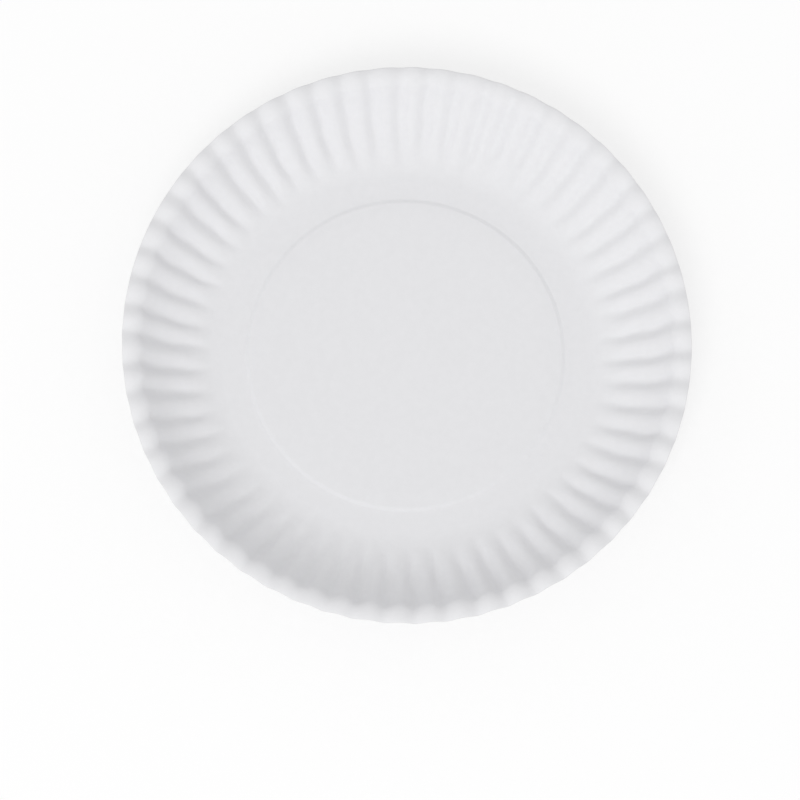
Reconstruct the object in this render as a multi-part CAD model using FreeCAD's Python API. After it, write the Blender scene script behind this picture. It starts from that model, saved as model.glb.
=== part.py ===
import FreeCAD, Part
import math
import os

# A round paper plate, pressed in one piece from a flat sheet of white paper board.
# Its wall and rim are fluted all the way round, which stiffens the thin sheet.
# Millimetres, +Z up. The origin is under the middle of the plate, on the surface it stands on.

# Driving dimensions of the section, from the outer edge inwards
PLATE_DIAMETER = 219.0    # across the rim, at the middle of the sheet
SHEET = 0.35              # thickness of the board
LIP_DROOP = 18.0          # degrees by which the outer edge turns down
LIP_RADIUS = 6.0          # roll of the lip
WALL_SLOPE = 64.0         # steepest slope of the wall, degrees, where the lip begins
WALL_RADIUS = 40.6        # hollow curve of the wall, below the lip
HEEL_SLOPE = 17.0         # slope at which the heel goes over into the wall, degrees
HEEL_RADIUS = 22.0        # tighter curve of the heel, where the wall rises from the floor
FOOT_WIDTH = 8.6          # flat ring that the plate stands on
CREASE_WIDTH = 1.4        # sloped step pressed inside the flat ring
CREASE_RISE = 0.55        # height by which the step lifts the middle of the floor

# Driving dimensions of the flutes
FLUTE_COUNT = 58
FLUTE_HEIGHT = 1.4        # from the valleys to the ridges of the full flutes
FLUTE_FADE = 21.0         # length of wall over which the flutes grow from nothing
RIDGE_SHARE = 0.35        # share of a flute that its round ridge takes, the rest is flanks

# The sheet is bent from band to band, and each band is straight across its width
HEEL_BANDS = 1
WALL_BANDS = 2
LIP_BANDS = 3

# Places on the section that follow from the sizes
wall_slope = math.radians(WALL_SLOPE)
heel_slope = math.radians(HEEL_SLOPE)
lip_droop = math.radians(LIP_DROOP)
lip_top_radius = PLATE_DIAMETER / 2 - LIP_RADIUS * math.sin(lip_droop)
wall_foot_radius = lip_top_radius - (LIP_RADIUS + WALL_RADIUS) * math.sin(wall_slope)
foot_outer_radius = wall_foot_radius + (WALL_RADIUS - HEEL_RADIUS) * math.sin(heel_slope)
foot_inner_radius = foot_outer_radius - FOOT_WIDTH
middle_radius = foot_inner_radius - CREASE_WIDTH
wall_length = HEEL_RADIUS * heel_slope + WALL_RADIUS * (wall_slope - heel_slope)

# Half of one flute, from a ridge to the next valley, as a turn about the plate's axis
half_flute = math.pi / FLUTE_COUNT

TOP = 1
UNDERSIDE = -1
RIDGE = 1.0
VALLEY = -1.0
# Level at which the round ridge runs into the straight flank with the same slope
FLANK = RIDGE - 2 * RIDGE_SHARE / (2 - RIDGE_SHARE)


def flute_reach(distance):
    """Half the flutes' height at a distance up the wall, growing smoothly from nothing."""
    grown = min(distance / FLUTE_FADE, 1.0)
    return FLUTE_HEIGHT / 2 * grown * grown * (3 - 2 * grown)


def wall_station(slope):
    """Radius, height, slope and flute reach at the middle of the sheet, on the heel or wall."""
    heel = min(slope, heel_slope)
    rise = WALL_RADIUS * (math.cos(heel) - math.cos(slope))
    radius = foot_outer_radius + HEEL_RADIUS * math.sin(heel)
    radius += WALL_RADIUS * (math.sin(slope) - math.sin(heel))
    height = SHEET / 2 + HEEL_RADIUS * (1 - math.cos(heel)) + rise
    return radius, height, slope, flute_reach(HEEL_RADIUS * heel + WALL_RADIUS * (slope - heel))


def lip_station(slope):
    """The same values on the lip, which carries on from the top of the wall."""
    wall_height = wall_station(wall_slope)[1]
    radius = lip_top_radius - LIP_RADIUS * math.sin(slope)
    height = wall_height + LIP_RADIUS * (math.cos(slope) - math.cos(wall_slope))
    return radius, height, slope, flute_reach(wall_length + LIP_RADIUS * (wall_slope - slope))


def bands(first, last, count):
    """Slopes at the ends of so many bands, without the first one."""
    return [first + (last - first) * step / count for step in range(1, count + 1)]


def sheet_point(station, side, level, turn):
    """A point on one face of the sheet, at a level between valley and ridge."""
    radius, height, slope, reach = station
    out = reach * level + side * SHEET / 2
    radius -= out * math.sin(slope)
    height += out * math.cos(slope)
    return FreeCAD.Vector(radius * math.cos(turn), radius * math.sin(turn), height)


def flute_ring(station, side):
    """The closed wavy line of all flutes round the plate, at one station."""
    edges = []
    for index in range(FLUTE_COUNT):
        middle = 2 * half_flute * index
        before = sheet_point(station, side, FLANK, middle - RIDGE_SHARE * half_flute)
        ridge = sheet_point(station, side, RIDGE, middle)
        after = sheet_point(station, side, FLANK, middle + RIDGE_SHARE * half_flute)
        valley = sheet_point(station, side, VALLEY, middle + half_flute)
        following = sheet_point(station, side, FLANK, middle + (2 - RIDGE_SHARE) * half_flute)
        edges.append(Part.Arc(before, ridge, after).toShape())
        edges.append(Part.LineSegment(after, valley).toShape())
        edges.append(Part.LineSegment(valley, following).toShape())
    return Part.Wire(edges)


def fluted_rim():
    """Both faces of the wall and lip, and the cut edge that joins them outside."""
    slopes = [0.0] + bands(0.0, heel_slope, HEEL_BANDS) + bands(heel_slope, wall_slope, WALL_BANDS)
    stations = [wall_station(slope) for slope in slopes]
    stations += [lip_station(slope) for slope in bands(wall_slope, -lip_droop, LIP_BANDS)]
    rings = [flute_ring(station, TOP) for station in stations]
    rings += [flute_ring(station, UNDERSIDE) for station in reversed(stations)]
    return Part.makeLoft(rings, False, True), rings[0], rings[-1]


def floor_face(foot_ring, level):
    """One face of the floor: the flat foot, the crease and the lifted middle."""
    axis = FreeCAD.Vector(0, 0, 1)
    foot_circle = Part.makeCircle(foot_inner_radius, FreeCAD.Vector(0, 0, level), axis)
    foot = Part.Face([foot_ring, Part.Wire(foot_circle)])
    line = Part.makePolygon([
        FreeCAD.Vector(foot_inner_radius, 0, level),
        FreeCAD.Vector(middle_radius, 0, level + CREASE_RISE),
        FreeCAD.Vector(0, 0, level + CREASE_RISE),
    ])
    middle = line.revolve(FreeCAD.Vector(0, 0, 0), axis, 360)
    return [foot] + middle.Faces


def plate():
    """The whole pressed sheet, sewn from its faces into one solid."""
    rim, top_ring, underside_ring = fluted_rim()
    faces = rim.Faces + floor_face(top_ring, SHEET) + floor_face(underside_ring, 0.0)
    shell = Part.makeShell(faces)
    shell.sewShape()
    solid = Part.makeSolid(shell)
    if solid.Volume < 0:
        solid.reverse()
    return solid


os.makedirs("parts", exist_ok=True)
sheet = plate()
sheet.exportStep("parts/plate.step")
print("plate: volume", round(sheet.Volume), "cubic mm, height", round(sheet.BoundBox.ZLength, 2))
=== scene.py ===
import math
import random

import bpy
from mathutils import Matrix, Vector


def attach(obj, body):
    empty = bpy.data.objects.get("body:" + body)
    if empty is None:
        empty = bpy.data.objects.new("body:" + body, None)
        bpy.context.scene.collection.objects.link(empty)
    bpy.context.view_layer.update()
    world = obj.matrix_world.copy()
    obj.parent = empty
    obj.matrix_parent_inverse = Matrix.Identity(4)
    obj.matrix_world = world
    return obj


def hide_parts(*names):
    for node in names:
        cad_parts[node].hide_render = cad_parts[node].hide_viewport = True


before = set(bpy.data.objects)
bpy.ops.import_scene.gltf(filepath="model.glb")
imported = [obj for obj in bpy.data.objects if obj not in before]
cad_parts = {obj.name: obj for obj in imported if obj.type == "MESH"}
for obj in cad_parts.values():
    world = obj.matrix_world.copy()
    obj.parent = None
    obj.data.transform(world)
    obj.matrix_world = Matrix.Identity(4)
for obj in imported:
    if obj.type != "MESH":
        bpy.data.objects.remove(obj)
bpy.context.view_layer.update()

# A round white paper plate, pressed in one piece from uncoated board.
# Sizes are in millimetres, as on the drawing of the die, and MM brings them to metres.
MM = 0.001

# Section of the pressed sheet, from the outer edge inwards
PLATE_DIAMETER = 219.0    # across the rim, at the middle of the sheet
SHEET = 0.35              # thickness of the board
LIP_DROOP = 18.0          # degrees by which the outer edge turns down
LIP_RADIUS = 6.0          # roll of the lip
WALL_SLOPE = 64.0         # steepest slope of the wall, degrees, where the lip begins
WALL_RADIUS = 40.6        # hollow curve of the wall, below the lip
HEEL_SLOPE = 17.0         # slope at which the heel goes over into the wall, degrees
HEEL_RADIUS = 22.0        # tighter curve of the heel, where the wall rises from the floor
FOOT_WIDTH = 8.2          # flat ring that the plate stands on
CREASE_WIDTH = 2.2        # pressed step inside the flat ring
CREASE_RISE = 0.67        # height by which the step lifts the middle of the floor

# Flutes: broad round ridges with narrow valleys between them
FLUTE_COUNT = 58
FLUTE_HEIGHT = 2.1        # from valley to ridge where the flutes are full
FLUTE_AT_LIP = 0.78       # share of their height that they keep where the lip rolls over
FLUTE_START = 3.6         # distance up the wall where they start
FLUTE_FADE = 15.5         # length of wall over which they grow from nothing
VALLEY_TIP = 1.4          # narrowness of a valley where it starts
VALLEY_FULL = 1.1         # and where it is full; 1 is an even wave

# What pressing leaves uneven, since board tears and gathers a little differently in each flute
VALLEY_WANDER = 0.05      # share of a flute by which a valley lies off its place
VALLEY_DRIFT = 0.03       # share of a flute by which it drifts to and fro on its way up
DRIFT_LENGTH = 17.0       # length of wall over which it drifts there and back
LEAST_PRESSED = 0.84      # the shallowest ridge or valley, as a share of a full one
START_SCATTER = 1.5       # distance by which valleys start early or late
RIDGE_SCATTER = 0.5       # ridges do so by this share of it
RIDGE_PULL = 0.45         # how far a ridge's cut edge is drawn in, as a share of its height
RIM_SETTLE = 0.52         # height by which the rim sinks at most after pressing
SETTLE_SWAY = 0.3         # share of that by which it differs round the plate
SETTLE_WAVES = (2, 3, 4)  # waves round the plate that make up the difference
random.seed(58)

# Fineness of the mesh
POINTS_A_FLUTE = 14
HEEL_RINGS = 8
WALL_RINGS = 22
LIP_RINGS = 15
CREASE_RINGS = 6
EDGE_RINGS = 4
MIDDLE_RADII = (8.0, 24.0, 40.0, 54.0)

wall_slope = math.radians(WALL_SLOPE)
heel_slope = math.radians(HEEL_SLOPE)
lip_droop = math.radians(LIP_DROOP)
half_sheet = SHEET / 2
lip_top_radius = PLATE_DIAMETER / 2 - LIP_RADIUS * math.sin(lip_droop)
wall_foot_radius = lip_top_radius - (LIP_RADIUS + WALL_RADIUS) * math.sin(wall_slope)
foot_outer_radius = wall_foot_radius + (WALL_RADIUS - HEEL_RADIUS) * math.sin(heel_slope)
foot_inner_radius = foot_outer_radius - FOOT_WIDTH
middle_radius = foot_inner_radius - CREASE_WIDTH
heel_length = HEEL_RADIUS * heel_slope
wall_length = heel_length + WALL_RADIUS * (wall_slope - heel_slope)
lip_length = LIP_RADIUS * (wall_slope + lip_droop)
flute_turn = 2 * math.pi / FLUTE_COUNT

# One set of draws for each flute, and one draw for each slow wave of the rim
valley_shift = [random.uniform(-VALLEY_WANDER, VALLEY_WANDER) for _ in range(FLUTE_COUNT)]
ridge_share = [random.uniform(LEAST_PRESSED, 1.0) for _ in range(FLUTE_COUNT)]
valley_share = [random.uniform(LEAST_PRESSED, 1.0) for _ in range(FLUTE_COUNT)]
drift_phase = [random.uniform(0, 2 * math.pi) for _ in range(FLUTE_COUNT)]
start_shift = [random.uniform(-START_SCATTER, START_SCATTER) for _ in range(FLUTE_COUNT)]
settle_phase = [random.uniform(0, 2 * math.pi) for _ in SETTLE_WAVES]


def ease(share):
    """A smooth step from 0 to 1."""
    share = min(max(share, 0.0), 1.0)
    return share * share * (3 - 2 * share)


def section():
    """Stations from the middle outwards: radius, height, slope and distance up the wall."""
    stations = [(radius, half_sheet + CREASE_RISE, 0.0, -1.0) for radius in MIDDLE_RADII]
    for step in range(CREASE_RINGS + 1):
        share = step / CREASE_RINGS
        radius = middle_radius + CREASE_WIDTH * share
        height = half_sheet + CREASE_RISE * (1 - ease(share))
        steepness = 6 * share * (1 - share)     # how steeply ease rises at this share
        slope = -math.atan(CREASE_RISE / CREASE_WIDTH * steepness)
        stations.append((radius, height, slope, -1.0))
    stations.append((foot_inner_radius + FOOT_WIDTH / 2, half_sheet, 0.0, -1.0))
    for step in range(HEEL_RINGS + 1):
        slope = heel_slope * step / HEEL_RINGS
        radius = foot_outer_radius + HEEL_RADIUS * math.sin(slope)
        height = half_sheet + HEEL_RADIUS * (1 - math.cos(slope))
        stations.append((radius, height, slope, HEEL_RADIUS * slope))
    heel_height = stations[-1][1]
    for step in range(1, WALL_RINGS + 1):
        slope = heel_slope + (wall_slope - heel_slope) * step / WALL_RINGS
        radius = wall_foot_radius + WALL_RADIUS * math.sin(slope)
        height = heel_height + WALL_RADIUS * (math.cos(heel_slope) - math.cos(slope))
        distance = heel_length + WALL_RADIUS * (slope - heel_slope)
        stations.append((radius, height, slope, distance))
    wall_height = stations[-1][1]
    last_slope = half_sheet / LIP_RADIUS - lip_droop
    for step in range(1, LIP_RINGS + 1):
        slope = wall_slope - (wall_slope - last_slope) * step / LIP_RINGS
        radius = lip_top_radius - LIP_RADIUS * math.sin(slope)
        height = wall_height + LIP_RADIUS * (math.cos(slope) - math.cos(wall_slope))
        distance = wall_length + LIP_RADIUS * (wall_slope - slope)
        stations.append((radius, height, slope, distance))
    return stations


def valley_offset(valley, distance):
    """How far a valley lies off the halfway line between its ridges, in flutes."""
    drift = math.sin(2 * math.pi * distance / DRIFT_LENGTH + drift_phase[valley])
    return valley_shift[valley] + VALLEY_DRIFT * drift


def flute_level(turn, distance):
    """Height of the flutes off the plain section, at a turn and a distance up the wall."""
    if distance < 0:
        return 0.0
    ridge = round(turn / flute_turn) % FLUTE_COUNT
    offset = turn / flute_turn - round(turn / flute_turn)
    if offset >= 0:
        valley = ridge
        across = offset / (0.5 + valley_offset(valley, distance))
    else:
        valley = (ridge - 1) % FLUTE_COUNT
        across = -offset / (0.5 - valley_offset(valley, distance))
    if across > 1:
        return flute_beyond(ridge, valley, offset, distance)
    return flute_height(ridge, valley, across, distance)


def flute_beyond(ridge, valley, offset, distance):
    """The same, where the valley has wandered over the halfway line towards this ridge."""
    if offset >= 0:
        following = (ridge + 1) % FLUTE_COUNT
        across = (1 - offset) / (0.5 - valley_offset(valley, distance))
    else:
        following = (ridge - 1) % FLUTE_COUNT
        across = (1 + offset) / (0.5 + valley_offset(valley, distance))
    return flute_height(following, valley, across, distance)


def flute_height(ridge, valley, across, distance):
    """Height between one ridge, where across is 0, and one of its valleys, where it is 1."""
    # A smooth wave that is level on the ridge and in the valley
    hollow = 2 * across ** 2 - across ** 4
    start = start_shift[valley] * across ** 2 + start_shift[ridge] * (1 - across ** 2) * RIDGE_SCATTER
    grown = ease((distance - FLUTE_START - start) / FLUTE_FADE)
    hollow = hollow ** (VALLEY_TIP + (VALLEY_FULL - VALLEY_TIP) * grown)
    rolled = ease((distance - wall_length + LIP_RADIUS) / (2 * LIP_RADIUS))
    grown *= 1 - (1 - FLUTE_AT_LIP) * rolled
    top = ridge_share[ridge]
    bottom = -valley_share[valley]
    return FLUTE_HEIGHT / 2 * grown * (top + (bottom - top) * hollow)


def rim_sink(turn, distance):
    """How far the wall has settled after pressing, most at the rim."""
    wave = sum(math.sin(count * turn + phase) for count, phase in zip(SETTLE_WAVES, settle_phase))
    grown = ease(distance / (wall_length + LIP_RADIUS))
    return RIM_SETTLE * grown * (1 - SETTLE_SWAY + SETTLE_SWAY * wave / len(SETTLE_WAVES))


def sheet_point(station, turn, side, shift=0.0):
    """A point on a face of the sheet; side runs from -1, underside, to 1, top; shift is outwards."""
    radius, height, slope, distance = station
    level = flute_level(turn, distance)
    out = level + side * half_sheet
    shift -= RIDGE_PULL * level * ease((distance - wall_length) / lip_length)
    radius += shift * math.cos(slope) - out * math.sin(slope)
    height += shift * math.sin(slope) + out * math.cos(slope) - rim_sink(turn, distance)
    return Vector((radius * math.cos(turn), radius * math.sin(turn), height)) * MM


def pressed_sheet():
    """The whole plate: top face, rounded cut edge and underside, as one closed mesh."""
    turns = [flute_turn * step / POINTS_A_FLUTE for step in range(FLUTE_COUNT * POINTS_A_FLUTE)]
    count = len(turns)
    stations = section()
    rings = [[sheet_point(station, turn, 1) for turn in turns] for station in stations]
    for step in range(1, EDGE_RINGS):
        bend = math.pi / 2 * (1 - 2 * step / EDGE_RINGS)
        shift = half_sheet * math.cos(bend)
        rings.append([sheet_point(stations[-1], turn, math.sin(bend), shift) for turn in turns])
    top_rings = len(stations)
    edge_end = len(rings)
    rings += [[sheet_point(station, turn, -1) for turn in turns] for station in reversed(stations)]

    points = [point for ring in rings for point in ring]
    faces = []
    for index in range(len(rings) - 1):
        inner = index * count
        outer = inner + count
        for step in range(count):
            following = (step + 1) % count
            faces.append((inner + step, outer + step, outer + following, inner + following))
    middle_height = half_sheet + CREASE_RISE
    points.append(Vector((0, 0, middle_height + half_sheet)) * MM)
    points.append(Vector((0, 0, middle_height - half_sheet)) * MM)
    last = (len(rings) - 1) * count
    for step in range(count):
        following = (step + 1) % count
        faces.append((len(points) - 2, step, following))
        faces.append((len(points) - 1, last + following, last + step))

    mesh = bpy.data.meshes.new("pressed_sheet")
    mesh.from_pydata(points, [], faces)
    first_edge = (top_rings - 1) * count
    last_edge = edge_end * count
    for index, polygon in enumerate(mesh.polygons):
        polygon.use_smooth = True
        if first_edge <= index < last_edge:
            polygon.material_index = 1
    mesh.update()
    return mesh


def colour(code):
    """Linear colour of an sRGB hex code."""
    parts = [int(code[place:place + 2], 16) / 255 for place in (1, 3, 5)]
    linear = [part / 12.92 if part <= 0.04045 else ((part + 0.055) / 1.055) ** 2.4 for part in parts]
    return (*linear, 1.0)


def add_node(tree, kind, settings, inputs):
    """Adds a node with its settings; each input is a value, or the output that feeds it."""
    node = tree.nodes.new(kind)
    for name, value in settings.items():
        setattr(node, name, value)
    for name, value in inputs.items():
        if isinstance(value, bpy.types.NodeSocket):
            tree.links.new(value, node.inputs[name])
        else:
            node.inputs[name].default_value = value
    return node


def bare_material(name):
    """A new material without any nodes, and its node tree."""
    material = bpy.data.materials.new(name)
    material.use_nodes = True
    material.node_tree.nodes.clear()
    return material, material.node_tree


def per_metre(size):
    """Texture scale for a pattern whose features are so many millimetres apart."""
    return 1 / (size * MM)


# Measures of the board's surface, in millimetres where nothing else is said
CLOUD_SIZE = 3.0          # soft clouds that the pulp settles in
FIBRE_WIDTH = 0.3         # as drawn; real fibres are 0.03 mm wide and too fine to show
FIBRE_STRETCH = 0.16      # how much the pattern is drawn out along the fibres
CROSS_WIDTH = 0.35        # the same for fibres that lie across them
CROSS_STRETCH = 0.2
CROSS_TURN = 1.1          # radians by which their noise is turned, so that it isn't the first one's
FELT_RELIEF = 0.018       # how far the fibres stand proud
COCKLE_SIZE = 6.0         # distance between the swells that drying leaves
COCKLE_RELIEF = 0.05      # and their height at most
TORN_SIZE = 0.4           # clumps of open fibres on the cut edge
TORN_RELIEF = 0.05        # and how rough they are


def pressed_board():
    """Uncoated bleached board, pressed hot and damp: matt, even white, faintly cloudy and felted."""
    material, tree = bare_material("uncoated_board_pressed")
    place = add_node(tree, "ShaderNodeTexCoord", {}, {}).outputs["Object"]

    # The board's formation, which the eye takes for softness
    clouds = add_node(tree, "ShaderNodeTexNoise", {}, {
        "Vector": place, "Scale": per_metre(CLOUD_SIZE), "Detail": 3.0, "Roughness": 0.55})
    # Real fibres are about 2 mm long; they are drawn coarser than life so that they show
    lying = add_node(tree, "ShaderNodeMapping", {}, {"Vector": place, "Scale": (FIBRE_STRETCH, 1.0, 1.0)})
    fibres = add_node(tree, "ShaderNodeTexNoise", {}, {
        "Vector": lying.outputs["Vector"], "Scale": per_metre(FIBRE_WIDTH), "Detail": 2.0,
        "Distortion": 1.4})
    crossing = add_node(tree, "ShaderNodeMapping", {}, {
        "Vector": place, "Rotation": (0.0, 0.0, CROSS_TURN), "Scale": (1.0, CROSS_STRETCH, 1.0)})
    cross_fibres = add_node(tree, "ShaderNodeTexNoise", {}, {
        "Vector": crossing.outputs["Vector"], "Scale": per_metre(CROSS_WIDTH), "Detail": 2.0,
        "Distortion": 1.4})
    felt = add_node(tree, "ShaderNodeMath", {"operation": "ADD"}, {
        0: fibres.outputs["Fac"], 1: cross_fibres.outputs["Fac"]})

    # Thin places between the fibres are a shade greyer
    thin = add_node(tree, "ShaderNodeMapRange", {}, {
        "Value": clouds.outputs["Fac"], "From Min": 0.3, "From Max": 0.7, "To Min": 0.0, "To Max": 1.0})
    tone = add_node(tree, "ShaderNodeMix", {"data_type": "RGBA"}, {
        0: thin.outputs["Result"], 6: colour("#e6e6e8"), 7: colour("#e8e8ea")})
    fleck = add_node(tree, "ShaderNodeMapRange", {}, {
        "Value": felt.outputs["Value"], "From Min": 0.7, "From Max": 1.3,
        "To Min": 0.993, "To Max": 1.004})
    flecked = add_node(tree, "ShaderNodeVectorMath", {"operation": "SCALE"}, {
        0: tone.outputs[2], "Scale": fleck.outputs["Result"]})

    # The felt catches the light fibre by fibre, and the cockle shows as a faint sway of the surface
    felt_bump = add_node(tree, "ShaderNodeBump", {}, {
        "Height": felt.outputs["Value"], "Distance": FELT_RELIEF * MM, "Strength": 0.8})
    cockle = add_node(tree, "ShaderNodeTexNoise", {}, {
        "Vector": place, "Scale": per_metre(COCKLE_SIZE), "Detail": 1.0})
    cockle_bump = add_node(tree, "ShaderNodeBump", {}, {
        "Height": cockle.outputs["Fac"], "Distance": COCKLE_RELIEF * MM, "Strength": 1.0,
        "Normal": felt_bump.outputs["Normal"]})

    # Dies iron the surface unevenly, so some places are a little less rough
    ironed = add_node(tree, "ShaderNodeMapRange", {}, {
        "Value": clouds.outputs["Fac"], "From Min": 0.3, "From Max": 0.7, "To Min": 0.82, "To Max": 0.94})
    surface = add_node(tree, "ShaderNodeBsdfPrincipled", {}, {
        "Base Color": flecked.outputs["Vector"], "Roughness": ironed.outputs["Result"],
        "Normal": cockle_bump.outputs["Normal"], "IOR": 1.5, "Specular IOR Level": 0.3})
    add_node(tree, "ShaderNodeOutputMaterial", {}, {"Surface": surface.outputs["BSDF"]})
    return material


def cut_board():
    """The die-cut edge of the board: open fibres, rougher and a shade greyer than its faces."""
    material, tree = bare_material("uncoated_board_cut")
    place = add_node(tree, "ShaderNodeTexCoord", {}, {}).outputs["Object"]
    torn = add_node(tree, "ShaderNodeTexNoise", {}, {
        "Vector": place, "Scale": per_metre(TORN_SIZE), "Detail": 3.0, "Roughness": 0.6})
    tone = add_node(tree, "ShaderNodeMix", {"data_type": "RGBA"}, {
        0: torn.outputs["Fac"], 6: colour("#d6d6d6"), 7: colour("#e6e6e6")})
    bump = add_node(tree, "ShaderNodeBump", {}, {
        "Height": torn.outputs["Fac"], "Distance": TORN_RELIEF * MM, "Strength": 1.0})
    surface = add_node(tree, "ShaderNodeBsdfPrincipled", {}, {
        "Base Color": tone.outputs[2], "Roughness": 0.95, "Normal": bump.outputs["Normal"],
        "IOR": 1.5, "Specular IOR Level": 0.2})
    add_node(tree, "ShaderNodeOutputMaterial", {}, {"Surface": surface.outputs["BSDF"]})
    return material


sheet_object = bpy.data.objects.new("pressed_sheet", pressed_sheet())
bpy.context.collection.objects.link(sheet_object)
sheet_object.data.materials.append(pressed_board())
sheet_object.data.materials.append(cut_board())
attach(sheet_object, "root")
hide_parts("plate")


# Studio: a matt white floor, white walls all round that are lit from one side, and a soft lamp
FLOOR_SIZE = 40.0         # metres
FLOOR_DROP = 0.02         # mm by which it lies under the foot, so that they never share one plane
FLOOR_GLOW = 0.67         # what the camera sees over the lit floor, to bring it up to white
FILL_LEVEL = 0.925        # brightness of the walls
FILL_SLANT = 0.07         # how much brighter they are on the lamp's side, and darker opposite
CEILING_DROP = 0.28       # how much darker the ceiling is
LAMP_LEVEL = 0.31         # brightness that the lamp gives a white surface that faces it
LAMP_SIZE = 1.7           # metres along each side
LAMP_DISTANCE = 4.0       # metres from the plate
LAMP_ELEVATION = 54.0     # degrees above the floor
LAMP_AZIMUTH = -10.0      # turn from the front edge of the plate, plus towards the right


def seen_directly(tree):
    """1 for rays from the camera and through or off shiny things, 0 for light on the object."""
    path = add_node(tree, "ShaderNodeLightPath", {}, {})
    direct = add_node(tree, "ShaderNodeMath", {"operation": "MAXIMUM"}, {
        0: path.outputs["Is Camera Ray"], 1: path.outputs["Is Glossy Ray"]})
    return add_node(tree, "ShaderNodeMath", {"operation": "MAXIMUM"}, {
        0: direct.outputs["Value"], 1: path.outputs["Is Transmission Ray"]}).outputs["Value"]


def matt_floor():
    """A painted studio floor that shows white and keeps the object's shadow."""
    material, tree = bare_material("floor_paint_matt_white")
    paint = add_node(tree, "ShaderNodeBsdfDiffuse", {}, {"Color": colour("#e6e6e6")})
    # Seen directly, two thirds of the white are glow, which keeps the shadow as pale as in a bright room
    shaded = add_node(tree, "ShaderNodeBsdfDiffuse", {}, {"Color": colour("#9b9b9b")})
    glow = add_node(tree, "ShaderNodeEmission", {}, {"Color": colour("#ffffff"), "Strength": FLOOR_GLOW})
    lit = add_node(tree, "ShaderNodeAddShader", {}, {
        0: shaded.outputs["BSDF"], 1: glow.outputs["Emission"]})
    mixed = add_node(tree, "ShaderNodeMixShader", {}, {
        0: seen_directly(tree), 1: paint.outputs["BSDF"], 2: lit.outputs["Shader"]})
    add_node(tree, "ShaderNodeOutputMaterial", {}, {"Surface": mixed.outputs["Shader"]})
    return material


floor_mesh = bpy.data.meshes.new("floor")
reach = FLOOR_SIZE / 2
floor_level = -FLOOR_DROP * MM
corners = [(-reach, -reach), (reach, -reach), (reach, reach), (-reach, reach)]
floor_mesh.from_pydata([(*corner, floor_level) for corner in corners], [], [(0, 1, 2, 3)])
floor = bpy.data.objects.new("floor", floor_mesh)
bpy.context.collection.objects.link(floor)
floor_mesh.materials.append(matt_floor())

lamp_turn = math.radians(LAMP_AZIMUTH)
lamp_height = math.radians(LAMP_ELEVATION)
lamp_side = Vector((math.sin(lamp_turn), -math.cos(lamp_turn), 0.0))
lamp_way = lamp_side * math.cos(lamp_height) + Vector((0.0, 0.0, math.sin(lamp_height)))
fill_slope = lamp_side * FILL_SLANT - Vector((0.0, 0.0, CEILING_DROP))


def white_walls():
    """Light from all round, least from above and most from the lamp's side; seen, it is plain white."""
    world = bpy.data.worlds.new("studio")
    world.use_nodes = True
    tree = world.node_tree
    tree.nodes.clear()
    way = add_node(tree, "ShaderNodeTexCoord", {}, {}).outputs["Generated"]
    slant = add_node(tree, "ShaderNodeVectorMath", {"operation": "DOT_PRODUCT"}, {0: way, 1: fill_slope})
    brightness = add_node(tree, "ShaderNodeMath", {"operation": "ADD"}, {
        0: slant.outputs["Value"], 1: FILL_LEVEL})
    fill = add_node(tree, "ShaderNodeBackground", {}, {
        "Color": colour("#ffffff"), "Strength": brightness.outputs["Value"]})
    backdrop = add_node(tree, "ShaderNodeBackground", {}, {"Color": colour("#ffffff"), "Strength": 1.0})
    shown = add_node(tree, "ShaderNodeMixShader", {}, {
        0: seen_directly(tree), 1: fill.outputs["Background"], 2: backdrop.outputs["Background"]})
    add_node(tree, "ShaderNodeOutputWorld", {}, {"Surface": shown.outputs["Shader"]})
    return world


bpy.context.scene.world = white_walls()

lamp_data = bpy.data.lights.new("soft_lamp", "AREA")
lamp_data.shape = "SQUARE"
lamp_data.size = LAMP_SIZE
# A square lamp of this power lights a facing white surface to LAMP_LEVEL at its distance
lamp_data.energy = LAMP_LEVEL * math.pi ** 2 * LAMP_DISTANCE ** 2
lamp = bpy.data.objects.new("soft_lamp", lamp_data)
bpy.context.collection.objects.link(lamp)
lamp.location = lamp_way * LAMP_DISTANCE
lamp.rotation_mode = "QUATERNION"
lamp.rotation_quaternion = (-lamp_way).to_track_quat("-Z", "Y")
lamp.visible_camera = False


# Camera: nearly straight above, looking down on the plate from its front
CAMERA_ELEVATION = 78.17  # degrees above the floor
CAMERA_AZIMUTH = 2.74     # turn from the front edge of the plate, plus towards the right
CAMERA_ROLL = 8.17        # turn about its own line of sight
CAMERA_DISTANCE = 1.25    # metres from the place that it aims at
AIM = Vector((0.36, -18.36, 0.0)) * MM      # on the floor, a little in front of the middle
PIXELS_A_FOCAL = 3199.5   # focal length in pixels of the 800 pixel frame
FRAME_PIXELS = 800

camera_data = bpy.data.cameras.new("camera")
camera_data.sensor_width = 36.0
camera_data.lens = camera_data.sensor_width * PIXELS_A_FOCAL / FRAME_PIXELS
camera_data.clip_start = 0.1
camera_data.clip_end = 100.0
camera = bpy.data.objects.new("camera", camera_data)
bpy.context.collection.objects.link(camera)
elevation = math.radians(CAMERA_ELEVATION)
azimuth = math.radians(CAMERA_AZIMUTH)
roll = math.radians(CAMERA_ROLL)
turned = Matrix.Rotation(azimuth, 3, "Z")
forward = turned @ Vector((0, math.cos(elevation), -math.sin(elevation)))
right = turned @ Vector((1, 0, 0))
up = right.cross(forward)
rolled_right = right * math.cos(roll) + up * math.sin(roll)
rolled_up = up * math.cos(roll) - right * math.sin(roll)
place = turned @ AIM - forward * CAMERA_DISTANCE
axes = Matrix((rolled_right, rolled_up, -forward)).transposed()
camera.matrix_world = Matrix.Translation(place) @ axes.to_4x4()
bpy.context.scene.camera = camera

bpy.context.scene.view_settings.view_transform = "Standard"
